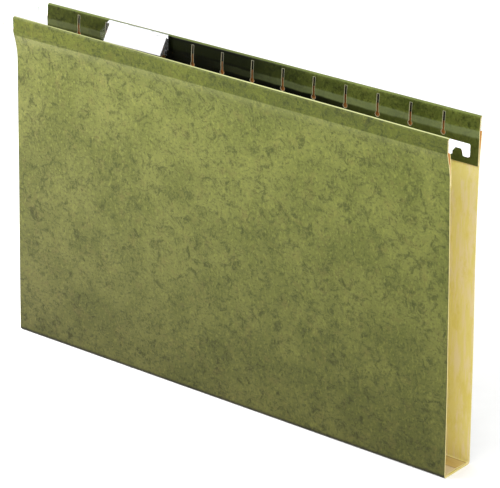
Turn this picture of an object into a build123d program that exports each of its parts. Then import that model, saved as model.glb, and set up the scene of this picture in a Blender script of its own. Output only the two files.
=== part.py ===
"""A legal-size hanging file folder with a box bottom, as an assembly of separate pieces.

Frame: +X along the folder's width, +Y from the front cover to the back cover, +Z up.
Origin: the middle of the box bottom's underside, where the folder stands. Millimetres.

Each cover is one laminated sheet: green pressboard outside, tan liner inside. At the top the
sheet folds inward over a steel rail and comes down inside the folder as the hem, so the hem
shows the green side. Both covers are drawn in one cover frame, where outward is -Y and the
crease is on the X axis, and the back cover is then turned half round about Z.
"""

from build123d import *
from math import cos, degrees, radians, sin, sqrt
import os

# Overall sizes
COVER_WIDTH = 374.65         # legal size, 14 3/4 in
COVER_LENGTH = 238.1         # crease to top fold, measured along the sheet, 9 3/8 in
BOX_DEPTH = 28.6             # outside, front cover to back cover at the bottom

# Sheet stock
STOCK_T = 0.50               # green pressboard
LINER_T = 0.20               # tan laminate inside it
BOARD_T = 0.60               # stiffening board in the bottom
CREASE_GAP = 0.05            # running clearance round each crease

# Hem and rail pocket, measured down from the top fold
POCKET_SIDE_GAP = 0.10       # clearance each side of the hook tip's shank
POCKET_FOOT_GAP = 1.0        # clearance under the shank
HEM_LENGTH = 33.3
GLUE_BAND = 12.0             # glued stretch above the hem's cut edge
GLUE_T = 0.20
GLUE_GAP = 0.10              # glue to the hem, at the hem's cut edge

# Front cover: it steps outward below the rail pocket
FRONT_STEP_TURN = 14.0       # degrees
FRONT_STEP_SLANT = 7.0
FRONT_STEP_SOFT_R = 60.0
FRONT_STEP_SHARP_R = 3.0

# Back cover: it leans back and curves outward
BACK_LEAN = 1.3              # degrees, at the crease
BACK_CURVE_TURN = 3.9        # degrees, added over the curved stretch
BACK_CURVE_LENGTH = 100.0
BACK_HEM_TURN = 12.0         # degrees, below the rail pocket
BACK_HEM_BEND_R = 8.0

# Tab slots in the back cover's hem
SLOT_COUNT = 13
SLOT_PITCH = 26.2
SLOT_TOP = 2.8               # below the top fold
SLOT_BOTTOM = 17.9
SLOT_WIDTH = 1.8
SLOT_EYE_D = 3.4             # round lower end

# Rails and hook tips
RAIL_T = 1.0
RAIL_HEIGHT = 7.4
RAIL_END_INSET = 16.0        # rail's full height ends this far inside the cover's edge
TANG_HEIGHT = 2.0
TANG_REACH = 12.5            # past the cover's edge
TIP_SKIN = 0.30              # plastic over each face of the rail
TIP_WALL = 0.30              # above and below the rail
TIP_FOLD_GAP = 0.06          # shank's top corners to the fold
TIP_SHANK = 22.0             # inside the pocket
TIP_SHOULDER = 0.4           # first part of the tip outside the cover
TIP_TOP = 0.3                # below the top fold
TIP_EDGE_R = 0.25

HOOK_LENGTH = 15.4           # past the cover's edge
HOOK_DROP = 8.7              # lip's end, below the top fold
HOOK_BAR = 4.1               # underside of the bar, below the top fold
HOOK_CORNER_R = 0.9
LIP_FOOT = 4.4               # lip's width at its end
LIP_RAMP = 0.9               # slant from the lip to the notch, along X
NOTCH_FLAT = 4.3             # level top of the notch
NECK_X = 2.0                 # where the slanted neck ends
NECK_DROP = 7.6

# Bottom board
BOARD_END_INSET = 1.0
BOARD_SIDE_GAP = 0.5
BOARD_PEAK = 0.7             # its centre score stands this much above its edges

# Index tab
TAB_SLOTS = (1, 3)           # slots that hold it, counted from the left, from 0
TAB_SLOPE = 35.0             # degrees, window against the hem
TAB_TOP = 0.4                # below the top fold
TAB_STANDOFF = 0.3           # clear of the hem at its top
TAB_WIDTH = 53.0
TAB_HEIGHT = 16.5            # along the slope
TAB_FILM = 0.30
TAB_SLEEVE_GAP = 0.50
TAB_FOLD_R = 0.5
TAB_WELD = 0.35              # solid strip along the sleeve's top and bottom
TAB_LEG_T = 0.6
TAB_LEG_TOP = 11.0           # leg's root on the window, along the slope
TAB_LEG_BOTTOM = 15.0
TONGUE_HEIGHT = 4.0
TONGUE_FOOT_GAP = 3.2        # tongue's lower edge to the slot's lower end
TONGUE_TIP_GAP = 0.4         # to the far ply
EAR_REACH = 4.5              # past each end of the window
EAR_WIDEST = 10.3            # along the slope
EAR_FOOT = 1.5
EAR_FOOT_AT = 14.5
INSERT_WIDTH = 50.8
INSERT_T = 0.30
INSERT_EDGE_GAP = 0.15

# Worked out from the sizes above
SHEET_T = STOCK_T + LINER_T
TIP_T = RAIL_T + 2 * TIP_SKIN
POCKET_GAP = TIP_T + 2 * POCKET_SIDE_GAP        # between the two liner faces, over the rail
CREASE_R = SHEET_T / 2
LINER_NEAR = CREASE_R - LINER_T                 # stock/liner interface, inward of mid-sheet
FOLD_R = POCKET_GAP / 2 + CREASE_R              # mid-sheet radius of the top fold
CROWN_R = POCKET_GAP / 2 + SHEET_T              # outside radius of the top fold
HALF_WIDTH = COVER_WIDTH / 2
CREASE_Y = BOX_DEPTH / 2 - CREASE_R             # crease axis, from the middle
CREASE_Z = CREASE_R
SHANK_R = POCKET_GAP / 2 - TIP_FOLD_GAP         # how near the fold the shank's corners come
SHANK_TOP = CROWN_R - sqrt(SHANK_R ** 2 - (TIP_T / 2) ** 2)
RAIL_TOP = SHANK_TOP + TIP_WALL
SHANK_BOTTOM = RAIL_TOP + RAIL_HEIGHT + TIP_WALL
POCKET_DEPTH = SHANK_BOTTOM + POCKET_FOOT_GAP
HEM_END_GAP = GLUE_T + GLUE_GAP                 # between the two liner faces at the hem's cut edge
TONGUE_BOTTOM = SLOT_BOTTOM - TONGUE_FOOT_GAP
TONGUE_TOP = TONGUE_BOTTOM - TONGUE_HEIGHT
TAB_LEG_X = (TAB_SLOTS[1] - TAB_SLOTS[0]) * SLOT_PITCH / 2
SLOT_XS = [(i - (SLOT_COUNT - 1) / 2) * SLOT_PITCH for i in range(SLOT_COUNT)]
TAB_X = (SLOT_XS[TAB_SLOTS[0]] + SLOT_XS[TAB_SLOTS[1]]) / 2


class Track:
    """A line through a folded sheet's section, in (Y, Z), drawn move by move from the crease up.

    A move is (length, turn in degrees), and a positive turn bends towards the outside (-Y while
    heading up). Offsets are measured to the inward side, so the liner's is always positive.
    """

    def __init__(self, heading, clearance):
        self.points = []
        self.moves = []
        self.heading = heading
        direction = self.direction()
        self.at = (clearance * direction[0], clearance * direction[1])

    def direction(self):
        return cos(radians(self.heading)), sin(radians(self.heading))

    def inward(self):
        across, up = self.direction()
        return up, -across

    def offset_point(self, offset):
        side = self.inward()
        return self.at[0] + offset * side[0], self.at[1] + offset * side[1]

    def run(self, length, turn=0.0):
        start, heading = self.at, self.heading
        if turn:
            radius = length / radians(abs(turn))
            bend = 1 if turn > 0 else -1
            side = self.inward()
            centre = (start[0] - bend * radius * side[0], start[1] - bend * radius * side[1])
            self.moves.append(("arc", start, heading, turn, radius, centre))
            self.heading += turn
            side = self.inward()
            self.at = (centre[0] + bend * radius * side[0], centre[1] + bend * radius * side[1])
        else:
            direction = self.direction()
            self.at = (start[0] + length * direction[0], start[1] + length * direction[1])
            self.moves.append(("line", start, heading, 0.0, 0.0, self.at))
        return self

    def edges(self, offset):
        """The moves' edges at one offset, from first to last."""
        made = []
        for kind, start, heading, turn, radius, other in self.moves:
            side = (sin(radians(heading)), -cos(radians(heading)))
            first = (start[0] + offset * side[0], start[1] + offset * side[1])
            if kind == "line":
                last = (other[0] + offset * side[0], other[1] + offset * side[1])
                made.append(Line((0, *first), (0, *last)))
                continue
            halves = []
            for share in (0.5, 1.0):
                angle = radians(turn * share)
                arm = (first[0] - other[0], first[1] - other[1])
                halves.append((
                    other[0] + arm[0] * cos(angle) - arm[1] * sin(angle),
                    other[1] + arm[0] * sin(angle) + arm[1] * cos(angle),
                ))
            made.append(ThreePointArc((0, *first), (0, *halves[0]), (0, *halves[1])))
        return made

    def ply(self, near, far, width, moves=slice(None)):
        """A sheet between two offsets, extruded along X and centred on X = 0."""
        a, b = self.edges(near)[moves], self.edges(far)[moves]
        ends = [Line(a[0] @ 0, b[0] @ 0), Line(a[-1] @ 1, b[-1] @ 1)]
        face = make_face(Wire([*a, *b, *ends]))
        return extrude(face, amount=width / 2, dir=(1, 0, 0), both=True)


def fold_over(track):
    """The rail pocket's outer wall, the top fold and the pocket's inner wall."""
    wall = POCKET_DEPTH - CROWN_R
    track.run(wall)
    track.run(radians(180) * FOLD_R, -180)
    return track.run(wall)


def front_hem_turn():
    """The hem's step, in degrees: gentler than the cover's, so that it closes on the cover.

    It comes from how far the cover has stepped where the hem ends. The hem's step is a short
    bend, a slant and a long bend back, which together move it by turn * (slant + length) / 2.
    """
    turn = radians(FRONT_STEP_TURN)
    below_pocket = HEM_LENGTH - POCKET_DEPTH
    bent_back = min(turn, (below_pocket - FRONT_STEP_SLANT) / FRONT_STEP_SOFT_R)
    cover_step = (
        FRONT_STEP_SHARP_R * (1 - cos(turn))
        + FRONT_STEP_SLANT * sin(turn)
        + FRONT_STEP_SOFT_R * (cos(turn - bent_back) - cos(turn))
    )
    hem_step = cover_step - POCKET_GAP + HEM_END_GAP
    return degrees(2 * hem_step / (FRONT_STEP_SLANT + below_pocket))


def front_track():
    """Straight, one step outward under the pocket, the fold, then the hem."""
    turn = FRONT_STEP_TURN
    soft = FRONT_STEP_SOFT_R * radians(turn)      # the hem's glue lies along this bend
    sharp = FRONT_STEP_SHARP_R * radians(turn)
    shaped = soft + FRONT_STEP_SLANT + sharp + POCKET_DEPTH
    track = Track(90.0, CREASE_R + CREASE_GAP)
    track.run(COVER_LENGTH - shaped - CREASE_GAP - SHEET_T)
    track.run(soft, turn).run(FRONT_STEP_SLANT).run(sharp, -turn)
    fold_over(track)
    hem_turn = front_hem_turn()
    hem_sharp = FRONT_STEP_SHARP_R * radians(hem_turn)
    hem_soft = HEM_LENGTH - POCKET_DEPTH - hem_sharp - FRONT_STEP_SLANT
    return track.run(hem_sharp, hem_turn).run(FRONT_STEP_SLANT).run(hem_soft, -hem_turn)


def back_track():
    """A straight lean, a long outward curve, the fold, then the hem, closing on the far ply."""
    track = Track(90.0 + BACK_LEAN, CREASE_R + CREASE_GAP)
    lower = COVER_LENGTH - BACK_CURVE_LENGTH - HEM_LENGTH - CREASE_GAP - SHEET_T
    track.run(lower).run(BACK_CURVE_LENGTH, BACK_CURVE_TURN)
    track.run(GLUE_BAND).run(HEM_LENGTH - GLUE_BAND - POCKET_DEPTH)
    fold_over(track)
    bend = BACK_HEM_BEND_R * radians(BACK_HEM_TURN)
    dropped = 2 * BACK_HEM_BEND_R * (1 - cos(radians(BACK_HEM_TURN)))
    rest = HEM_LENGTH - POCKET_DEPTH - 2 * bend
    taper = degrees((POCKET_GAP - HEM_END_GAP - dropped) / rest)
    track.run(bend, -BACK_HEM_TURN)
    track.run(BACK_HEM_BEND_R * radians(BACK_HEM_TURN - taper), BACK_HEM_TURN - taper)
    return track.run(rest)


def pocket_plane(track):
    """The rail pocket's mid-plane: local X is X, local Y is down from the top fold, local Z is inward."""
    fold = next(move for move in track.moves if move[0] == "arc" and abs(move[3]) == 180)
    _, _, heading, _, _, centre = fold
    up = Vector(0, cos(radians(heading)), sin(radians(heading)))
    inward = Vector(0, sin(radians(heading)), -cos(radians(heading)))
    crown = Vector(0, *centre) + up * CROWN_R
    return Plane(origin=crown, x_dir=(1, 0, 0), z_dir=inward)


def slot_cutters(plane):
    """One keyhole per slot, through the hem's inner ply and no further."""
    eye_y = SLOT_BOTTOM - SLOT_EYE_D / 2
    cutters = []
    for x in SLOT_XS:
        slit = Pos(x, (SLOT_TOP + eye_y) / 2) * Rectangle(SLOT_WIDTH, eye_y - SLOT_TOP)
        eye = Pos(x, eye_y) * Circle(SLOT_EYE_D / 2)
        cutters.append(extrude(plane * (slit + eye), amount=2 * CROWN_R, dir=plane.z_dir))
    return cutters


def rail(plane):
    """A steel strip with a narrow tang at each end, in the pocket's mid-plane."""
    body = Pos(0, RAIL_TOP + RAIL_HEIGHT / 2) * Rectangle(
        COVER_WIDTH - 2 * RAIL_END_INSET, RAIL_HEIGHT
    )
    tangs = Pos(0, RAIL_TOP + TANG_HEIGHT / 2) * Rectangle(
        COVER_WIDTH + 2 * TANG_REACH, TANG_HEIGHT
    )
    return extrude(plane * (body + tangs), amount=RAIL_T / 2, dir=plane.z_dir, both=True)


def hook_outline():
    """The hook tip's outline at the +X end: shank in the pocket, bar, lip, notch and neck."""
    edge = HALF_WIDTH
    lip_inner = HOOK_LENGTH - LIP_FOOT
    notch_end = lip_inner - 2 * LIP_RAMP
    points = [
        (edge - TIP_SHANK, SHANK_TOP),
        (edge + TIP_SHOULDER, SHANK_TOP),
        (edge + TIP_SHOULDER, TIP_TOP),
        (edge + HOOK_LENGTH, TIP_TOP),
        (edge + HOOK_LENGTH, HOOK_DROP),
        (edge + lip_inner, HOOK_DROP),
        (edge + lip_inner - LIP_RAMP, HOOK_BAR + LIP_RAMP),
        (edge + notch_end, HOOK_BAR),
        (edge + notch_end - NOTCH_FLAT, HOOK_BAR),
        (edge + NECK_X, NECK_DROP),
        (edge + NECK_X, SHANK_BOTTOM),
        (edge - TIP_SHANK, SHANK_BOTTOM),
    ]
    outline = make_face(Polyline(*points, close=True))
    outer = [v for v in outline.vertices() if v.X > edge + lip_inner - LIP_RAMP / 2]
    return fillet(outer, HOOK_CORNER_R)


def hook_tips(plane, rail_solid):
    """The two moulded tips, (-X, +X) in the cover frame, each with the rail's end let into it."""
    blank = extrude(plane * hook_outline(), amount=TIP_T / 2, dir=plane.z_dir, both=True)
    rounded = [e for e in blank.edges() if e.center().X > HALF_WIDTH + TIP_SHOULDER + 0.1]
    outside = [e for e in rounded if abs(e.tangent_at(0.5).dot(plane.z_dir)) < 0.5]
    plus = fillet(outside, TIP_EDGE_R) - rail_solid
    return mirror(plus, about=Plane.YZ), plus


def cover_pieces(track, slotted, glued_move):
    """Stock, liner, rail, hook tips and hem glue of one cover, in the cover frame."""
    plane = pocket_plane(track)
    stock = track.ply(-CREASE_R, LINER_NEAR, COVER_WIDTH)
    liner = track.ply(LINER_NEAR, CREASE_R, COVER_WIDTH)
    if slotted:
        cutters = slot_cutters(plane)
        stock, liner = stock - cutters, liner - cutters
    steel = rail(plane)
    minus, plus = hook_tips(plane, steel)
    glued = slice(glued_move, glued_move + 1)
    glue = track.ply(CREASE_R, CREASE_R + GLUE_T, COVER_WIDTH, glued)
    return {
        "cover": stock,
        "liner": liner,
        "rail": steel,
        "hem_glue": glue,
        "minus": minus,
        "plus": plus,
    }


def tab_planes(hem):
    """The pocket plane moved to the tab, and the window's own plane: local Y down the slope."""
    slope = radians(TAB_SLOPE)
    down, inward = hem.y_dir, hem.z_dir
    middle = hem.origin - hem.x_dir * TAB_X
    start = middle + down * TAB_TOP + inward * (CROWN_R + TAB_STANDOFF)
    normal = inward * cos(slope) - down * sin(slope)
    leg = Plane(origin=middle, x_dir=inward, z_dir=hem.x_dir)
    return leg, Plane(origin=start, x_dir=hem.x_dir, z_dir=normal)


def tab_legs(leg_plane):
    """Two thin webs from the window to the hem, each ending in the tongue that fills a slot."""
    slope = radians(TAB_SLOPE)
    root_z = CROWN_R + TAB_STANDOFF + TAB_FILM / 2
    tip = -POCKET_GAP / 2 + TONGUE_TIP_GAP

    def on_window(along):
        return root_z + along * sin(slope), -(TAB_TOP + along * cos(slope))

    outline = [
        on_window(TAB_LEG_TOP),
        on_window(TAB_LEG_BOTTOM),
        (CROWN_R + TAB_STANDOFF, -TONGUE_BOTTOM),
        (tip, -TONGUE_BOTTOM),
        (tip, -TONGUE_TOP),
        (CROWN_R + TAB_STANDOFF, -TONGUE_TOP),
    ]
    web = leg_plane * make_face(Polyline(*outline, close=True))
    blade = extrude(web, amount=TAB_LEG_T / 2, dir=leg_plane.z_dir, both=True)
    return [
        blade.moved(Location(leg_plane.z_dir * (side * TAB_LEG_X))) for side in (-1, 1)
    ]


def tab_pieces(hem):
    """The clear holder and the card in it, in the cover frame."""
    leg_plane, window = tab_planes(hem)
    thickness = 2 * TAB_FILM + TAB_SLEEVE_GAP
    middle = Pos(0, TAB_HEIGHT / 2, thickness / 2)
    tube = fillet(
        Box(TAB_WIDTH, TAB_HEIGHT, thickness).edges().filter_by(Axis.X), TAB_FOLD_R
    )
    hollow = Box(2 * TAB_WIDTH, TAB_HEIGHT - 2 * TAB_WELD, TAB_SLEEVE_GAP)
    sleeve = window.location * middle * (tube - hollow)
    half = TAB_WIDTH / 2
    ears = []
    for side in (-1, 1):
        outline = Polyline(
            (side * (half - 1), TAB_FOLD_R),
            (side * half, TAB_FOLD_R),
            (side * (half + EAR_REACH), EAR_WIDEST),
            (side * (half + EAR_FOOT), EAR_FOOT_AT),
            (side * (half - 1), EAR_FOOT_AT),
            close=True,
        )
        face = window.location * Pos(0, 0, thickness - TAB_FILM) * make_face(outline)
        ears.append(extrude(face, amount=TAB_FILM, dir=window.z_dir))
    holder = sleeve + ears + tab_legs(leg_plane)
    card_height = TAB_HEIGHT - 2 * TAB_WELD - 2 * INSERT_EDGE_GAP
    card = window.location * middle * Box(INSERT_WIDTH, card_height, INSERT_T)
    return holder, card


def bottom_pieces():
    """The box bottom's stock and liner, the board on it, and the two creases."""
    half = CREASE_Y - CREASE_R - CREASE_GAP
    flat = {
        "box_bottom": Pos(0, 0, STOCK_T / 2) * Box(COVER_WIDTH, 2 * half, STOCK_T),
        "bottom_liner": Pos(0, 0, STOCK_T + LINER_T / 2) * Box(COVER_WIDTH, 2 * half, LINER_T),
    }
    side = half - BOARD_SIDE_GAP
    section = Polyline(
        (0, -side, SHEET_T),
        (0, 0, SHEET_T + BOARD_PEAK),
        (0, side, SHEET_T),
        (0, side, SHEET_T + BOARD_T),
        (0, 0, SHEET_T + BOARD_PEAK + BOARD_T),
        (0, -side, SHEET_T + BOARD_T),
        close=True,
    )
    reach = HALF_WIDTH - BOARD_END_INSET
    flat["bottom_board"] = extrude(make_face(section), amount=reach, dir=(1, 0, 0), both=True)
    bead = Rot(0, 90, 0) * Cylinder(CREASE_R, COVER_WIDTH)
    flat["front_crease"] = Pos(0, -CREASE_Y, CREASE_Z) * bead
    flat["back_crease"] = Pos(0, CREASE_Y, CREASE_Z) * bead
    return flat


def build():
    nodes = bottom_pieces()
    to_front = Pos(0, -CREASE_Y, CREASE_Z)
    to_back = Pos(0, CREASE_Y, CREASE_Z) * Rot(0, 0, 180)
    front = cover_pieces(front_track(), slotted=False, glued_move=1)
    back_line = back_track()
    back = cover_pieces(back_line, slotted=True, glued_move=2)
    for name in ("cover", "liner", "rail", "hem_glue"):
        nodes[f"front_{name}"] = to_front * front[name]
        nodes[f"back_{name}"] = to_back * back[name]
    nodes["front_hook_left"] = to_front * front["minus"]
    nodes["front_hook_right"] = to_front * front["plus"]
    nodes["back_hook_left"] = to_back * back["plus"]
    nodes["back_hook_right"] = to_back * back["minus"]
    holder, card = tab_pieces(pocket_plane(back_line))
    nodes["tab_holder"] = to_back * holder
    nodes["tab_insert"] = to_back * card
    return nodes


os.makedirs("parts", exist_ok=True)
for node_name, shape in build().items():
    export_step(shape, f"parts/{node_name}.step")
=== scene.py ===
"""Looks for a legal-size hanging file folder: sheet meshes, materials, studio and camera.

Metres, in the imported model's frame: +X along the width, +Y from the front cover to the back
cover, +Z up, origin in the middle of the underside.
"""
import math

import bmesh
import bpy
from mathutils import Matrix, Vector, noise


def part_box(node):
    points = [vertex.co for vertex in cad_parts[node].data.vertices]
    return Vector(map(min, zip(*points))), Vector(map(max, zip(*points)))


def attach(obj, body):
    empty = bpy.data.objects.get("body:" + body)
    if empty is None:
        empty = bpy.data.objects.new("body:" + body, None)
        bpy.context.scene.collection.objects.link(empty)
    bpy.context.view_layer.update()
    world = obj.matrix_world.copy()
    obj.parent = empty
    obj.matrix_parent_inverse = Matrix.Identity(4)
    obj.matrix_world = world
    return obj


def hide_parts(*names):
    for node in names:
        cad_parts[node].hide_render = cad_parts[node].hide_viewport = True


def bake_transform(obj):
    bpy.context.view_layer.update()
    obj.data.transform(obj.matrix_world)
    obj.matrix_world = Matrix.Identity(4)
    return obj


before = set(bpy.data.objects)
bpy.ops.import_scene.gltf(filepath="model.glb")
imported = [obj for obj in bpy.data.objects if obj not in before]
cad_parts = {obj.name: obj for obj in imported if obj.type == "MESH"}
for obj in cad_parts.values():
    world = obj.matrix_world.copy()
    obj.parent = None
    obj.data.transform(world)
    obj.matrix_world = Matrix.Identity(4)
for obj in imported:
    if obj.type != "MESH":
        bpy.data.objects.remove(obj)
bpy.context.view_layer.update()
MM = 0.001

# ---------------------------------------------------------------- places, from the frame
FRONT_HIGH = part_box("front_cover")[1]
BACK_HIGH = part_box("back_cover")[1]
BOTTOM_LOW, BOTTOM_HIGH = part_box("box_bottom")
CREASE_LOW, CREASE_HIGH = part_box("front_crease")
TAB_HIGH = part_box("tab_holder")[1]
CARD_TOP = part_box("tab_insert")[1].z
HALF_WIDTH = FRONT_HIGH.x
SHEET_T = CREASE_HIGH.z - CREASE_LOW.z          # pressboard and laminate together
STOCK_T = BOTTOM_HIGH.z - BOTTOM_LOW.z
CREASE_Y = -(CREASE_LOW.y + CREASE_HIGH.y) / 2
CREASE_Z = SHEET_T / 2
BACK_LEAN = math.radians(1.3)                   # the back cover's lean at its crease

# ---------------------------------------------------------------- shapes the CAD leaves out
FOLD_R = 1.65 * MM            # mid-sheet radius of the bottom folds
FOLD_STEPS = 10               # strips of mesh around a fold
COLUMN = 4.0 * MM             # mesh columns across the width
ROW = 6.0 * MM                # mesh rows up a cover
SWAY_TO = 205 * MM            # the covers' lean grows up to this height
SWAY_LEFT = {"front": 3.8 * MM, "back": 1.0 * MM}      # along Y, at the top left
SWAY_RIGHT = {"front": -3.7 * MM, "back": -5.0 * MM}   # and at the top right
LIFT_RIGHT = {"front": -1.0 * MM, "back": 2.2 * MM}    # along Z, at the top right
PULL_LEFT = {"front": 2.4 * MM, "back": 1.2 * MM}      # along X, at the top left
TUCK_RIGHT = {"front": 0.0, "back": -2.2 * MM}         # along X, at the back's right end only
TUCK_FROM = 162 * MM
TAB_OUT = Vector((0, -0.8 * MM, 0.6 * MM))             # how the whole tab stands off the hem
TAB_LEAN = 4.9 * MM           # the tab's window leans this far along X from its feet
TAB_SHEAR = 0.15              # and further by this share of the depth below its top
TAB_FEET_Z = 228 * MM         # the feet, in the slots, lie below this height
TAB_FEET_Y = 20.5 * MM        # and behind this place
TAB_RISE = 6 * MM             # the lean comes in over this height above the feet
TAB_REACH = 3 * MM            # or over this distance in front of them
SLOT_PITCH = 26.2 * MM        # of the keyholes in the back hem, as the CAD cuts them
SLOT_TOP = 2.8 * MM           # where they begin below the top fold
SLOT_HALF = 0.9 * MM          # half their width
EYE_R = 1.7 * MM              # radius of the round lower end
EYE_DEPTH = 16.2 * MM         # and the depth of its centre
RIPPLE = 0.22 * MM            # slow unevenness of the pressboard
RIPPLE_SIZE = 70 * MM
RIPPLE_FROM = 40 * MM         # it reaches its full height this far up
RIPPLE_SEED = {"front": 3.0, "back": 17.0}

# ---------------------------------------------------------------- places in the materials
POCKET_LINE = 10.5 * MM       # depth of the rail pocket's line below the top fold
PLY_EDGE = 31 * MM            # above this depth the laminate is inside the hem, with painted shade in brown-orange
HEM_HIGHLIGHT_STRIP = (9.4 * MM, 10.8 * MM, 14.2 * MM, 16.0 * MM)    # the painted highlight strip: in, full, full, out

# ---------------------------------------------------------------- mesh tolerances
CUT_SNAP = 1e-7
WELD_GAP = 2e-6
FLAT_ANGLE = math.radians(0.5)
SHARP_ANGLE = 35              # degrees, between faces
OUTSIDE, HEM, LAMINATE, CUT_EDGE, SLOT_WALL = range(5)


# ---------------------------------------------------------------- shape helpers
def smooth(t):
    t = min(1.0, max(0.0, t))
    return t * t * (3 - 2 * t)


def sway(cover, place):
    """Moves a point of a cover as paper stands: each end leans its own way, with a slow ripple."""
    x, y, z = place
    across = (x / HALF_WIDTH + 1) / 2
    up = min(1.0, max(0.0, z / SWAY_TO))
    lean = SWAY_LEFT[cover] * (1 - across) * up + SWAY_RIGHT[cover] * across * up * up
    seed = RIPPLE_SEED[cover]
    ripple = RIPPLE * noise.noise(Vector((x / RIPPLE_SIZE, seed, z / RIPPLE_SIZE)))
    ripple *= smooth(z / RIPPLE_FROM)
    lift = LIFT_RIGHT[cover] * across * max(0.0, z / FRONT_HIGH.z)
    pull = PULL_LEFT[cover] * (1 - across) * up
    pull += TUCK_RIGHT[cover] * smooth((x - TUCK_FROM) / (HALF_WIDTH - TUCK_FROM)) * up
    return Vector((x + pull, y + lean + ripple, z + lift))


def copy_of(node, name):
    """A new object at the origin, with a copy of a CAD node's mesh and no materials."""
    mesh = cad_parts[node].data.copy()
    mesh.name = name
    mesh.materials.clear()
    obj = bpy.data.objects.new(name, mesh)
    bpy.context.scene.collection.objects.link(obj)
    return obj


def trim(bm, at, normal):
    """Cuts away what lies behind a plane, and closes the cut."""
    geom = bm.verts[:] + bm.edges[:] + bm.faces[:]
    done = bmesh.ops.bisect_plane(
        bm, geom=geom, dist=CUT_SNAP, plane_co=at, plane_no=normal, clear_inner=True)
    edges = [e for e in done["geom_cut"] if isinstance(e, bmesh.types.BMEdge)]
    bmesh.ops.holes_fill(bm, edges=edges)


def middle(part, axis):
    """Where a vertex, edge or face lies along an axis."""
    if isinstance(part, bmesh.types.BMVert):
        return part.co[axis]
    return sum(v.co[axis] for v in part.verts) / len(part.verts)


def slice_along(bm, axis, places):
    """Cuts the mesh by planes across an axis, in ascending order, so that it can bend."""
    normal = Vector([1.0 if i == axis else 0.0 for i in range(3)])
    geom = bm.verts[:] + bm.edges[:] + bm.faces[:]
    for place in places:
        done = bmesh.ops.bisect_plane(
            bm, geom=geom, dist=CUT_SNAP, plane_co=normal * place, plane_no=normal)
        geom = [part for part in done["geom"] if middle(part, axis) > place - 1e-6]


def steps(low, high, pitch):
    count = max(1, round((high - low) / pitch))
    return [low + (high - low) * i / count for i in range(1, count)]


def finish_mesh(obj, bm, angle=SHARP_ANGLE):
    """Writes the mesh back with even normals, smooth but for its sharp edges."""
    bmesh.ops.recalc_face_normals(bm, faces=bm.faces)
    sharp = math.radians(angle)
    for face in bm.faces:
        face.smooth = True
    for edge in bm.edges:
        if len(edge.link_faces) == 2:
            edge.smooth = edge.calc_face_angle() < sharp
    bm.to_mesh(obj.data)
    bm.free()
    obj.data.update()


def welded(obj):
    """The object's mesh, opened for editing, with shared corners and whole flat faces."""
    bm = bmesh.new()
    bm.from_mesh(obj.data)
    bmesh.ops.remove_doubles(bm, verts=bm.verts, dist=WELD_GAP)
    bmesh.ops.dissolve_limit(
        bm, angle_limit=FLAT_ANGLE, verts=bm.verts, edges=bm.edges, delimit={"NORMAL"})
    return bm


def ride_for(obj, body, slot, *nodes):
    """The object rides the body, in place of these CAD nodes. The slot is not used."""
    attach(obj, body)
    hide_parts(*nodes)


# ---------------------------------------------------------------- node helpers
class Nodes:
    """Builds one material's node tree with short calls."""

    def __init__(self, name):
        self.material = bpy.data.materials.new(name)
        self.material.use_nodes = True
        self.tree = self.material.node_tree
        self.tree.nodes.clear()
        self.out = self.tree.nodes.new("ShaderNodeOutputMaterial")
        self.shader = self.tree.nodes.new("ShaderNodeBsdfPrincipled")
        self.link(self.shader.outputs[0], self.out.inputs["Surface"])
        self.place = self.tree.nodes.new("ShaderNodeTexCoord").outputs["Object"]

    def link(self, a, b):
        self.tree.links.new(a, b)

    def put(self, value, socket):
        if isinstance(value, (int, float)):
            socket.default_value = value
        elif isinstance(value, tuple):
            socket.default_value = (*value, 1.0)[:len(socket.default_value)]
        else:
            self.link(value, socket)

    def mapped(self, scale, turn=(0, 0, 0), offset=(0, 0, 0)):
        node = self.tree.nodes.new("ShaderNodeMapping")
        self.link(self.place, node.inputs["Vector"])
        node.inputs["Location"].default_value = offset
        node.inputs["Rotation"].default_value = turn
        node.inputs["Scale"].default_value = scale
        return node.outputs[0]

    def noise(self, size, detail=4.0, rough=0.55, stretch=(1, 1, 1), distort=0.0, turn=(0, 0, 0),
              offset=(0, 0, 0)):
        """Noise whose features are about this size, in metres."""
        node = self.tree.nodes.new("ShaderNodeTexNoise")
        scale = tuple(s / size for s in stretch)
        self.link(self.mapped(scale, turn, offset), node.inputs["Vector"])
        node.inputs["Scale"].default_value = 1.0
        node.inputs["Detail"].default_value = detail
        node.inputs["Roughness"].default_value = rough
        node.inputs["Distortion"].default_value = distort
        return node.outputs["Fac"]

    def span(self, value, low, high, to_low=0.0, to_high=1.0, smoothly=False):
        node = self.tree.nodes.new("ShaderNodeMapRange")
        node.interpolation_type = "SMOOTHSTEP" if smoothly else "LINEAR"
        self.put(value, node.inputs["Value"])
        for name, number in (("From Min", low), ("From Max", high), ("To Min", to_low),
                             ("To Max", to_high)):
            self.put(number, node.inputs[name])
        return node.outputs["Result"]

    def math(self, kind, a, b=0.0):
        node = self.tree.nodes.new("ShaderNodeMath")
        node.operation = kind
        self.put(a, node.inputs[0])
        self.put(b, node.inputs[1])
        return node.outputs[0]

    def mix(self, share, a, b, kind="MIX"):
        node = self.tree.nodes.new("ShaderNodeMix")
        node.data_type = "RGBA"
        node.blend_type = kind
        self.put(share, node.inputs["Factor"])
        self.put(a, node.inputs["A"])
        self.put(b, node.inputs["B"])
        return node.outputs["Result"]

    def axis(self, letter):
        node = self.tree.nodes.new("ShaderNodeSeparateXYZ")
        self.link(self.place, node.inputs[0])
        return node.outputs[letter]

    def bump(self, height, depth, strength=1.0):
        node = self.tree.nodes.new("ShaderNodeBump")
        node.inputs["Strength"].default_value = strength
        node.inputs["Distance"].default_value = depth
        self.link(height, node.inputs["Height"])
        self.link(node.outputs[0], self.shader.inputs["Normal"])

    def set(self, **values):
        for name, value in values.items():
            self.put(value, self.shader.inputs[name.replace("_", " ")])
        return self.material


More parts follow.
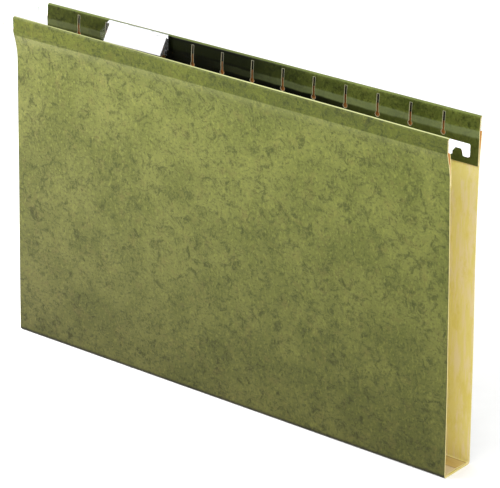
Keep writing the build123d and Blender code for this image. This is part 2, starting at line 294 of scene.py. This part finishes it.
# ---------------------------------------------------------------- materials
def mottled(n, pale, deep, fleck, seed=0.0):
    """Pressboard's colour: slow clouds, fibre clumps, dark flecks and fine fibres."""
    cloud = n.noise(30 * MM, 3, 0.55, offset=(seed, 0, 0))
    clump = n.noise(7.5 * MM, 6, 0.74, distort=0.9, offset=(seed, 3, 0))
    grain = n.noise(1.7 * MM, 4, 0.75, offset=(seed, 0, 5))
    along = n.noise(1.5 * MM, 2, 0.5, stretch=(1, 1, 0.55), turn=(0, 0.5, 0), offset=(seed, 1, 0))
    across = n.noise(1.5 * MM, 2, 0.5, stretch=(0.55, 1, 1), turn=(0, 0.6, 0), offset=(seed, 2, 0))
    brown = n.noise(9.0 * MM, 4, 0.7, offset=(seed, 6, 2))
    colour = n.mix(n.span(cloud, 0.38, 0.62), deep, pale)
    tan = n.math("MULTIPLY", n.span(brown, 0.54, 0.70), 0.40)
    colour = n.mix(tan, colour, (1.05 * pale[0], 0.80 * pale[1], 1.05 * pale[2]))
    clots = n.math("ADD", clump, n.math("MULTIPLY", grain, 0.55))
    patch = n.span(clots, 0.755, 0.925, smoothly=True)
    colour = n.mix(n.math("MULTIPLY", patch, 0.80), colour, fleck)
    light = n.span(n.math("ADD", grain, along), 1.02, 1.32)
    colour = n.mix(n.math("MULTIPLY", light, 0.55), colour, tuple(1.6 * c for c in pale))
    dark = n.span(n.math("ADD", grain, across), 0.97, 0.74)
    colour = n.mix(n.math("MULTIPLY", dark, 0.60), colour, fleck)
    height = n.math("ADD", n.math("MULTIPLY", along, 0.5), n.math("ADD", grain, patch))
    return colour, height


def depth_below(n, cover):
    """How far below the cover's top fold a point lies, and its share of the way across."""
    top = FRONT_HIGH.z if cover == "front" else BACK_HIGH.z
    across = n.span(n.axis("X"), -HALF_WIDTH, HALF_WIDTH)
    lifted = n.math("MULTIPLY", across, LIFT_RIGHT[cover])
    return n.math("SUBTRACT", n.math("ADD", lifted, top), n.axis("Z")), across


def pressboard(cover):
    """A cover's outside: green, with painted shade low down, along its foot and over the rail
    pocket, a painted sheen towards the left, and painted highlights along the top fold and below
    the pocket.
    """
    n = Nodes(f"pressboard_{cover}")
    seed = 0.0 if cover == "front" else 11.0
    colour, height = mottled(n, (0.137, 0.150, 0.027), (0.096, 0.110, 0.015),
                             (0.036, 0.044, 0.006), seed)
    depth, across = depth_below(n, cover)
    left = n.math("POWER", n.math("SUBTRACT", 1.0, across), 2.0)
    line = n.math("SUBTRACT", depth, n.math("MULTIPLY", left, 3.2 * MM))
    # painted highlight: a paler ridge just below the rail pocket's line
    ridge_highlight = n.math("MULTIPLY", n.span(line, 9.8 * MM, POCKET_LINE),
                   n.span(line, 18 * MM, 10.9 * MM, smoothly=True))
    colour = n.mix(n.math("MULTIPLY", ridge_highlight, 0.14), colour, (0.27, 0.28, 0.11))
    # painted sheen: the colour greyer towards the left end
    colour = n.mix(left, colour, (1.05, 1.0, 1.38), "MULTIPLY")
    # painted shade: the band over the rail pocket darker and more saturated, reaching lower
    # towards the left
    pocket_band_shade = n.span(line, POCKET_LINE, POCKET_LINE - 0.3 * MM)
    colour = n.mix(n.math("MULTIPLY", pocket_band_shade, 0.95), colour, (0.59, 0.63, 0.25), "MULTIPLY")
    # painted highlight along the top fold, stronger towards the right on the front
    crown = n.span(depth, 0.35 * MM, 0.08 * MM, smoothly=True)
    highlight_share = n.span(across, 0.30, 0.60, 0.35, 0.85) if cover == "front" else 0.15
    colour = n.mix(n.math("MULTIPLY", crown, highlight_share), colour, (0.52, 0.54, 0.25))
    # painted shade: the colour darker towards the bottom
    low = n.span(n.axis("Z"), 215 * MM, 0.0)
    colour = n.mix(low, colour, (0.52, 0.48, 0.47), "MULTIPLY")
    # painted shade along the bottom fold, where it turns under
    foot_shade = n.span(n.axis("Z"), 3.6 * MM, 1.4 * MM, smoothly=True)
    colour = n.mix(n.math("MULTIPLY", foot_shade, 0.95), colour, (0.26, 0.24, 0.22), "MULTIPLY")
    n.bump(height, 0.10 * MM, 0.55)
    return n.set(Base_Color=colour, Roughness=n.span(height, 0.4, 1.6, 0.50, 0.66),
                 Specular_IOR_Level=0.20)


def slot_rims(n, depth):
    """A pale frayed rim around each keyhole of the hem."""
    pulled = n.span(n.axis("X"), -HALF_WIDTH, HALF_WIDTH, PULL_LEFT["back"], 0.0)
    place = n.math("SUBTRACT", n.axis("X"), pulled)
    slot = n.math("ADD", n.math("MULTIPLY", place, 1 / SLOT_PITCH), 0.5)
    off = n.math("ABSOLUTE", n.math("SUBTRACT", n.math("FRACT", n.math("ADD", slot, 20.0)), 0.5))
    off = n.math("MULTIPLY", off, SLOT_PITCH)
    within = n.math("MULTIPLY", n.span(depth, SLOT_TOP - 0.5 * MM, SLOT_TOP - 0.3 * MM),
                    n.span(depth, EYE_DEPTH, EYE_DEPTH - 0.2 * MM))
    slit = n.math("MULTIPLY", n.span(off, SLOT_HALF + 0.3 * MM, SLOT_HALF + 0.15 * MM), within)
    down = n.math("SUBTRACT", depth, EYE_DEPTH)
    squares = n.math("ADD", n.math("MULTIPLY", off, off), n.math("MULTIPLY", down, down))
    reach = n.math("SQRT", squares)
    rims = n.math("MAXIMUM", slit, n.span(reach, EYE_R + 0.3 * MM, EYE_R + 0.15 * MM))
    row = n.span(n.math("ABSOLUTE", n.axis("X")), 6.5 * SLOT_PITCH, 6.4 * SLOT_PITCH)
    return n.math("MULTIPLY", rims, row)


def hem_green_shaded(cover):
    """The hem inside the folder: glossy green painted darker as shade, nearly black mid-width as
    painted shade and reflection, with a painted highlight strip and lip, and rims at its slots.
    """
    n = Nodes(f"hem_{cover}")
    colour, height = mottled(n, (0.088, 0.106, 0.019), (0.048, 0.062, 0.009),
                             (0.015, 0.020, 0.003), 7.0)
    x = n.axis("X")
    wander = n.noise(16 * MM, 4, 0.6)
    shifted = n.math("ADD", x, n.math("MULTIPLY", n.math("SUBTRACT", wander, 0.5), 40 * MM))
    depth, _ = depth_below(n, cover)
    wavy = n.math("ADD", depth, n.math("MULTIPLY", n.math("SUBTRACT", wander, 0.5), 2.4 * MM))
    # painted shade and reflection: these masks lay the near-black across the hem's middle
    left = n.span(shifted, -150 * MM, -95 * MM, smoothly=True)
    upper = n.math("MULTIPLY", left, n.span(shifted, 95 * MM, -20 * MM, smoothly=True))
    lower = n.math("MULTIPLY", left, n.span(shifted, 130 * MM, 50 * MM, smoothly=True))
    midway = n.math("MULTIPLY", left, n.span(shifted, 100 * MM, -40 * MM, smoothly=True))
    begin, full, fade, end = HEM_HIGHLIGHT_STRIP
    # painted highlight: a paler strip below the rail pocket
    strip = n.math("MULTIPLY", n.span(wavy, begin, full, smoothly=True),
                   n.span(wavy, end, fade, smoothly=True))
    below = n.span(wavy, 14.0 * MM, 15.5 * MM, smoothly=True)
    dark = n.mix(below, n.mix(strip, upper, midway), lower)
    colour = n.mix(n.math("MULTIPLY", strip, 0.50), colour, (0.16, 0.19, 0.09))
    # painted shade: darker below the highlight strip
    colour = n.mix(n.math("MULTIPLY", below, 0.60), colour, (0.042, 0.050, 0.011))
    # painted shade: darker towards the left end
    colour = n.mix(n.span(x, -100 * MM, -140 * MM), colour, (0.52, 0.50, 0.46), "MULTIPLY")
    # painted shade and reflection: near black inside the masks
    colour = n.mix(n.math("MULTIPLY", dark, 0.985), colour, (0.001, 0.0012, 0.0006))
    # painted shade: a darker band between the lip and the highlight strip
    upper_band_shade = n.math("MULTIPLY", n.span(wavy, 1.2 * MM, 3.0 * MM), n.span(wavy, 9.4 * MM, 8.0 * MM))
    colour = n.mix(n.math("MULTIPLY", upper_band_shade, 0.30), colour, (0.012, 0.016, 0.003))
    # painted highlight along the top fold's lip
    lip_highlight = n.span(depth, 1.0 * MM, 0.3 * MM, smoothly=True)
    colour = n.mix(n.math("MULTIPLY", lip_highlight, 0.5), colour, (0.17, 0.21, 0.06))
    if cover == "back":
        colour = n.mix(n.math("MULTIPLY", slot_rims(n, depth), 0.42), colour, (0.60, 0.58, 0.42))
    n.bump(height, 0.08 * MM, 0.4)
    return n.set(Base_Color=colour, Roughness=0.44, Specular_IOR_Level=0.04)


def laminate():
    """The tan inside face: fine pinkish streaks up the sheet, and painted shade in brown-orange on
    the ply inside the hem.
    """
    n = Nodes("laminate_tan")
    streak = n.noise(4.0 * MM, 4, 0.65, stretch=(1, 1, 0.13), distort=0.6)
    hair = n.noise(1.0 * MM, 3, 0.6, stretch=(1, 1, 0.16))
    cloud = n.noise(9 * MM, 4, 0.7, stretch=(1, 1, 0.45))
    colour = n.mix(n.span(streak, 0.44, 0.60), (0.77, 0.67, 0.23), (0.80, 0.68, 0.39))
    colour = n.mix(n.math("MULTIPLY", n.span(cloud, 0.50, 0.64), 0.65), colour, (0.71, 0.60, 0.12))
    colour = n.mix(n.math("MULTIPLY", n.span(hair, 0.5, 0.75), 0.18), colour, (0.80, 0.71, 0.46))
    # painted shade: the ply inside the hem brown-orange, as in shadow
    ply = FRONT_HIGH.z - PLY_EDGE
    hem_ply_shade = n.span(n.axis("Z"), ply - 0.6 * MM, ply)
    colour = n.mix(n.math("MULTIPLY", hem_ply_shade, 0.9), colour, (0.78, 0.36, 0.09))
    n.bump(hair, 0.03 * MM, 0.4)
    return n.set(Base_Color=colour, Roughness=n.span(cloud, 0.3, 0.7, 0.34, 0.46),
                 Specular_IOR_Level=0.4)


def cut_edge():
    """Die-cut edges: pale torn fibre between the two faces."""
    n = Nodes("cut_edge")
    fibre = n.noise(0.5 * MM, 3, 0.65)
    colour = n.mix(n.span(fibre, 0.3, 0.7), (0.40, 0.33, 0.12), (0.62, 0.54, 0.27))
    n.bump(fibre, 0.06 * MM, 0.6)
    return n.set(Base_Color=colour, Roughness=0.85)


def slot_edge():
    """The keyholes' punched walls: paler, with fine fibre."""
    n = Nodes("slot_edge")
    fibre = n.noise(0.35 * MM, 3, 0.65)
    colour = n.mix(n.span(fibre, 0.3, 0.7), (0.20, 0.17, 0.08), (0.40, 0.36, 0.22))
    n.bump(fibre, 0.05 * MM, 0.5)
    return n.set(Base_Color=colour, Roughness=0.7)


def nylon():
    """Moulded white plastic: faint flow marks and an orange-peel skin."""
    n = Nodes("nylon_white")
    peel = n.noise(0.7 * MM, 3, 0.5)
    flow = n.noise(9 * MM, 3, 0.5, stretch=(0.4, 1, 1))
    colour = n.mix(n.span(flow, 0.35, 0.65), (0.90, 0.90, 0.905), (0.96, 0.96, 0.955))
    n.bump(peel, 0.02 * MM, 0.5)
    return n.set(Base_Color=colour, Roughness=n.span(peel, 0.3, 0.7, 0.30, 0.42),
                 Subsurface_Weight=0.15, Subsurface_Scale=0.002)


def steel():
    """Cold-rolled strip with a dark oiled skin: rolling lines along its length."""
    n = Nodes("rail_steel")
    lines = n.noise(0.35 * MM, 4, 0.6, stretch=(0.01, 1, 1))
    stain = n.noise(14 * MM, 4, 0.6)
    colour = n.mix(n.span(stain, 0.35, 0.65), (0.020, 0.021, 0.022), (0.050, 0.050, 0.050))
    n.bump(lines, 0.03 * MM, 0.5)
    return n.set(Base_Color=colour, Metallic=0.85, Roughness=n.span(lines, 0.3, 0.7, 0.40, 0.55))


def vinyl():
    """Clear plastic film: nearly invisible face on, grey along its top fold and at grazing."""
    n = Nodes("vinyl_clear")
    facing = n.tree.nodes.new("ShaderNodeLayerWeight")
    facing.inputs["Blend"].default_value = 0.35
    haze = n.noise(6 * MM, 3, 0.5)
    clear = n.span(n.math("ADD", facing.outputs["Facing"], n.math("MULTIPLY", haze, 0.06)),
                   0.60, 1.05, 0.01, 0.12)
    fold = n.span(n.axis("Z"), TAB_HIGH.z - 1.2 * MM, TAB_HIGH.z - 0.5 * MM)
    colour = n.mix(fold, (0.70, 0.71, 0.72), (0.26, 0.27, 0.27))
    n.bump(haze, 0.04 * MM, 0.3)
    return n.set(Base_Color=colour, Alpha=n.math("MAXIMUM", clear, n.math("MULTIPLY", fold, 0.8)),
                 Roughness=0.10, Specular_IOR_Level=0.5)


def board():
    """The stiffener: golden behind its centre score as painted shade, paler and pinker in front of
    it as painted light, with painted shade lines along the score and where it meets the folds.
    """
    n = Nodes("board_tan")
    mottle = n.noise(9 * MM, 4, 0.6, stretch=(0.5, 1, 1))
    y = n.math("ABSOLUTE", n.axis("Y"))
    # painted light and shade: the front half paler and pinker as if lit, the back half golden as
    # if shaded
    front = n.span(n.axis("Y"), 0.3 * MM, -0.3 * MM)
    golden = n.mix(n.span(mottle, 0.4, 0.6), (0.50, 0.35, 0.11), (0.56, 0.42, 0.16))
    pink = n.mix(n.span(mottle, 0.4, 0.6), (0.54, 0.42, 0.24), (0.60, 0.49, 0.30))
    colour = n.mix(front, golden, pink)
    # painted shade: dark lines along the centre score and where the board meets the folds
    score = n.span(y, 0.6 * MM, 0.1 * MM)
    fold_line_shade = n.span(y, CREASE_Y - FOLD_R - 1.3 * MM, CREASE_Y - FOLD_R - 0.6 * MM)
    lines = n.math("MULTIPLY", n.math("MAXIMUM", score, fold_line_shade), 0.7)
    colour = n.mix(lines, colour, (0.22, 0.13, 0.04))
    n.bump(mottle, 0.05 * MM, 0.4)
    return n.set(Base_Color=colour, Roughness=0.6, Specular_IOR_Level=0.3)


def card():
    """White index card: a fine tooth, the least mottle and a grey line along its top edge."""
    n = Nodes("card_white")
    tooth = n.noise(0.5 * MM, 3, 0.6)
    mottle = n.noise(7 * MM, 3, 0.5)
    colour = n.mix(n.span(mottle, 0.35, 0.65), (0.505, 0.50, 0.50), (0.525, 0.52, 0.52))
    top = CARD_TOP + TAB_OUT.z + 0.4 * MM
    colour = n.mix(n.span(n.axis("Z"), top - 0.8 * MM, top - 0.5 * MM), colour, (0.16, 0.16, 0.15))
    n.bump(tooth, 0.02 * MM, 0.5)
    return n.set(Base_Color=colour, Roughness=n.span(tooth, 0.3, 0.7, 0.70, 0.85))


def glue():
    """Dried hem glue: translucent amber, brushed along the hem."""
    n = Nodes("hem_glue")
    brush = n.noise(2.0 * MM, 4, 0.6, stretch=(0.06, 1, 1))
    colour = n.mix(n.span(brush, 0.35, 0.65), (0.62, 0.50, 0.26), (0.76, 0.66, 0.40))
    n.bump(brush, 0.05 * MM, 0.5)
    return n.set(Base_Color=colour, Roughness=0.35)


MATERIALS = {
    "front": pressboard("front"),
    "back": pressboard("back"),
    "front_hem": hem_green_shaded("front"),
    "back_hem": hem_green_shaded("back"),
    "laminate": laminate(),
    "board": board(),
    "cut_edge": cut_edge(),
    "slot_edge": slot_edge(),
    "nylon": nylon(),
    "steel": steel(),
    "vinyl": vinyl(),
    "card": card(),
    "glue": glue(),
}


def paint(obj, names, choose):
    """Gives the object these materials, and each face the one that choose(face) names."""
    for name in names:
        obj.data.materials.append(MATERIALS[name])
    for polygon in obj.data.polygons:
        polygon.material_index = names.index(choose(polygon))


# ---------------------------------------------------------------- the covers
def cover_sheet(cover, layer):
    """The pressboard or the laminate of a cover, cut into columns and rows and swayed."""
    node = f"{cover}_{layer}"
    obj = copy_of(node, f"{cover}_{'sheet' if layer == 'cover' else 'lining'}")
    bm = welded(obj)
    trim(bm, (0, 0, CREASE_Z + FOLD_R), (0, 0, 1))
    slice_along(bm, 2, steps(CREASE_Z + FOLD_R, FRONT_HIGH.z, ROW))
    slice_along(bm, 0, steps(-HALF_WIDTH, HALF_WIDTH, COLUMN))
    out = -1 if cover == "front" else 1
    bm.normal_update()
    kinds = bm.faces.layers.int.new("kind")
    for face in bm.faces:
        face[kinds] = sheet_kind(face, out, layer)
    for vert in bm.verts:
        vert.co = sway(cover, vert.co)
    finish_mesh(obj, bm)
    names = [cover, f"{cover}_hem", "laminate", "cut_edge", "slot_edge"]     # as OUTSIDE and on
    kind = obj.data.attributes["kind"]
    paint(obj, names, lambda face: names[kind.data[face.index].value])
    obj.data.attributes.remove(kind)
    slot = "pressboard" if layer == "cover" else "laminate"
    ride_for(obj, f"{cover}_cover", slot, node)


def sheet_kind(face, out, layer):
    """Which kind of surface a cover's face is."""
    centre = face.calc_center_median()
    if abs(face.normal.x) > 0.5:
        return CUT_EDGE if abs(centre.x) > HALF_WIDTH - 0.1 * MM else SLOT_WALL
    if layer == "liner":
        return LAMINATE
    turned_in = face.normal.y * out < -0.15
    top = (FRONT_HIGH if out < 0 else BACK_HIGH).z
    if abs(face.normal.z) > 0.6 and centre.z < top - 5 * MM:
        return CUT_EDGE
    return HEM if turned_in else OUTSIDE


def swayed_node(node, name, cover, body, slot, material, columns):
    """A CAD piece fixed to a cover, moved with the cover's sway."""
    obj = copy_of(node, name)
    bm = welded(obj)
    low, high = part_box(node)
    slice_along(bm, 0, steps(low.x, high.x, columns))
    for vert in bm.verts:
        vert.co = sway(cover, vert.co)
    finish_mesh(obj, bm)
    obj.data.materials.append(MATERIALS[material])
    ride_for(obj, body, slot, node)


def cover_pieces(cover):
    """Everything that swings with one cover, but for the tab."""
    body = f"{cover}_cover"
    cover_sheet(cover, "cover")
    cover_sheet(cover, "liner")
    swayed_node(f"{cover}_rail", f"{cover}_rail_strip", cover, body, "rail_steel", "steel", COLUMN)
    swayed_node(f"{cover}_hem_glue", f"{cover}_glue_line", cover, body, "adhesive", "glue", COLUMN)
    for side in ("left", "right"):
        swayed_node(f"{cover}_hook_{side}", f"{cover}_hook_tip_{side}", cover, body, "nylon",
                    "nylon", COLUMN / 2)


# ---------------------------------------------------------------- the bottom and its folds
def flat_piece(node, name, slot, material, half_depth):
    """A layer of the box bottom, as far as the folds begin."""
    obj = copy_of(node, name)
    bm = welded(obj)
    for side in (-1, 1):
        trim(bm, (0, side * half_depth, 0), (0, -side, 0))
    slice_along(bm, 0, steps(-HALF_WIDTH, HALF_WIDTH, 4 * COLUMN))
    finish_mesh(obj, bm, 20)
    paint(obj, [material, "cut_edge"],
          lambda face: "cut_edge" if abs(face.normal.x) > 0.5 else material)
    ride_for(obj, "base", slot, node)


def fold_section(outer, inner, lean):
    """A fold's section from the flat to the upright, as (inner, outer) point pairs in Y and Z."""
    start = CREASE_Y - FOLD_R
    pairs = []
    for i in range(FOLD_STEPS + 1):
        angle = math.radians(90) * i / FOLD_STEPS
        pair = []
        for offset in (inner, outer):
            y = start + (FOLD_R + offset) * math.sin(angle)
            z = CREASE_Z + FOLD_R - (FOLD_R + offset) * math.cos(angle)
            y += max(0.0, z - CREASE_Z) * math.tan(lean) * i / FOLD_STEPS
            pair.append((y, z))
        pairs.append(pair)
    return pairs


def fold_strip(cover, name, outer, inner, slot, material, *nodes):
    """One layer of a bottom fold, bent between the bottom and the cover."""
    sign, lean = (-1, 0.0) if cover == "front" else (1, BACK_LEAN)
    pairs = fold_section(outer, inner, lean)
    xs = [-HALF_WIDTH, *steps(-HALF_WIDTH, HALF_WIDTH, COLUMN), HALF_WIDTH]
    bm = bmesh.new()
    rings = []
    for x in xs:
        ring = [bm.verts.new((x, sign * y, z)) for (y, z), _ in pairs]
        ring += [bm.verts.new((x, sign * y, z)) for _, (y, z) in reversed(pairs)]
        rings.append(ring)
    count = len(rings[0])
    for a, b in zip(rings, rings[1:]):
        for i in range(count):
            j = (i + 1) % count
            bm.faces.new((a[i], a[j], b[j], b[i]))
    for ring in (rings[0], rings[-1]):
        for i in range(FOLD_STEPS):
            bm.faces.new((ring[i], ring[i + 1], ring[count - 2 - i], ring[count - 1 - i]))
    mesh = bpy.data.meshes.new(name)
    obj = bpy.data.objects.new(name, mesh)
    bpy.context.scene.collection.objects.link(obj)
    finish_mesh(obj, bm, 50)
    paint(obj, [material, "cut_edge"],
          lambda face: "cut_edge" if abs(face.normal.x) > 0.5 else material)
    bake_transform(obj)
    if nodes:
        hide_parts(*nodes)


def bottom_pieces():
    """The flat layers of the bottom, and the two folds that join them to the covers."""
    flat = CREASE_Y - FOLD_R
    flat_piece("box_bottom", "bottom_sheet", "pressboard", "front", flat)
    flat_piece("bottom_liner", "bottom_lining", "laminate", "laminate", flat)
    flat_piece("bottom_board", "bottom_stiffener", "board", "board", flat - 0.3 * MM)
    face = STOCK_T - CREASE_Z
    for cover in ("front", "back"):
        fold_strip(cover, f"{cover}_fold_sheet", CREASE_Z, -face, "pressboard", cover,
                   f"{cover}_crease")
        fold_strip(cover, f"{cover}_fold_lining", -face, -CREASE_Z, "laminate", "laminate")


# ---------------------------------------------------------------- the tab
def tab_piece(node, name, body, slot, material, feet):
    """A piece of the tab, carried as one with the back cover and leaning along X from its feet."""
    obj = copy_of(node, name)
    bm = welded(obj)
    low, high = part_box("tab_holder")
    middle_of_tab = (low + high) / 2
    shift = sway("back", middle_of_tab) - middle_of_tab + TAB_OUT
    if feet:
        slice_along(bm, 1, steps(low.y, high.y, MM))
        slice_along(bm, 2, steps(low.z, high.z, MM))
    for vert in bm.verts:
        up = smooth((vert.co.z - TAB_FEET_Z) / TAB_RISE)
        out = smooth((TAB_FEET_Y - vert.co.y) / TAB_REACH)
        lean = TAB_LEAN + TAB_SHEAR * max(0.0, high.z - vert.co.z)
        lean *= max(up, out) if feet else 1.0
        vert.co += shift + Vector((lean, 0, 0))
    finish_mesh(obj, bm)
    obj.data.materials.append(MATERIALS[material])
    ride_for(obj, body, slot, node)


def tab_pieces():
    tab_piece("tab_holder", "tab_sleeve", "tab", "vinyl", "vinyl", feet=True)
    tab_piece("tab_insert", "tab_card", "insert", "card", "card", feet=False)


# ---------------------------------------------------------------- studio
CAMERA_TARGET = Vector((0.02595, -0.0143, 0.12266))
CAMERA_TURN = math.radians(38.83)
CAMERA_RISE = math.radians(22.63)
CAMERA_DISTANCE = 1.85
SENSOR = 36.0
LENS = 200.8
CLIP_END = 60.0
WORLD_LIGHT = 1.0
FLOOR_REACH = 30.0


def floor():
    """The plain white floor, wide enough to fill every view."""
    n = Nodes("floor_white")
    paper = n.noise(0.02, 3, 0.5)
    colour = n.mix(n.span(paper, 0.3, 0.7), (0.90, 0.90, 0.90), (0.92, 0.92, 0.92))
    material = n.set(Base_Color=colour, Roughness=0.9, Specular_IOR_Level=0.1)
    mesh = bpy.data.meshes.new("studio_floor")
    reach = FLOOR_REACH
    corners = [(-reach, -reach, 0), (reach, -reach, 0), (reach, reach, 0), (-reach, reach, 0)]
    mesh.from_pydata(corners, [], [(0, 1, 2, 3)])
    mesh.materials.append(material)
    obj = bpy.data.objects.new("studio_floor", mesh)
    bpy.context.scene.collection.objects.link(obj)


def softbox(name, at, aim, size, watts):
    """A rectangular area light that the camera does not see."""
    light = bpy.data.lights.new(name, "AREA")
    light.shape = "RECTANGLE"
    light.size, light.size_y = size
    light.energy = watts
    obj = bpy.data.objects.new(name, light)
    obj.location = at
    obj.rotation_euler = (Vector(aim) - Vector(at)).to_track_quat("-Z", "Y").to_euler()
    obj.visible_camera = False
    bpy.context.scene.collection.objects.link(obj)


def studio():
    """An even white surround, a key from the left, and two weak fills."""
    scene = bpy.context.scene
    world = bpy.data.worlds.new("studio")
    world.use_nodes = True
    background = world.node_tree.nodes["Background"]
    background.inputs["Color"].default_value = (1, 1, 1, 1)
    background.inputs["Strength"].default_value = WORLD_LIGHT
    scene.world = world
    scene.view_settings.view_transform = "Standard"
    softbox("key_left", (-0.50, -0.42, 0.56), (-0.12, 0, 0.20), (0.40, 0.40), 8.6)
    softbox("top", (0.1, 0.15, 1.35), (0.05, 0, 0.2), (1.1, 0.9), 3)
    softbox("end_fill", (1.35, -0.30, 0.5), (0.19, 0, 0.1), (0.8, 0.8), 9)


def camera():
    """The photograph's viewing angle, without lens shift or depth of field."""
    data = bpy.data.cameras.new("camera")
    data.sensor_width = SENSOR
    data.lens = LENS
    data.clip_end = CLIP_END
    obj = bpy.data.objects.new("camera", data)
    back = Vector((math.sin(CAMERA_TURN) * math.cos(CAMERA_RISE),
                   -math.cos(CAMERA_TURN) * math.cos(CAMERA_RISE), math.sin(CAMERA_RISE)))
    obj.location = CAMERA_TARGET + back * CAMERA_DISTANCE
    obj.rotation_euler = back.to_track_quat("Z", "Y").to_euler()
    bpy.context.scene.collection.objects.link(obj)
    bpy.context.scene.camera = obj


camera()
studio()
floor()
for side in ("front", "back"):
    cover_pieces(side)
bottom_pieces()
tab_pieces()
